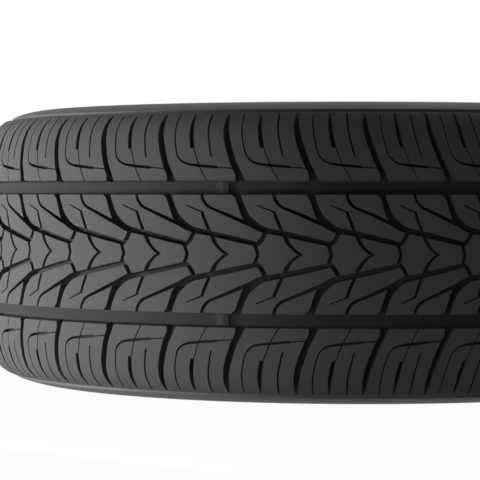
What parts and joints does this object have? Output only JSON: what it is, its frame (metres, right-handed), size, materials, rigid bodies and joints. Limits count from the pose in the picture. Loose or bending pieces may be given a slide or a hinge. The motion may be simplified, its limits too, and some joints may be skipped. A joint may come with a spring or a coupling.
{
  "type": "car tyre",
  "caption": "Pneumatic car tyre with a directional V-groove tread, plain sidewalls and bead seats that fit a standard rim.",
  "frame": {"origin": "centre of the tyre, on its axis and half way between the two sidewalls", "axes": "+Z along the tyre's axis, up when it lies on its side; -Y faces the viewer of the picture, and +X is to the right"},
  "size_m": [0.738, 0.738, 0.2664],
  "materials": {
    "rubber": "matte moulded rubber"
  },
  "bodies": {
    "root": {"tyre": "rubber"}
  },
  "joints": []
}
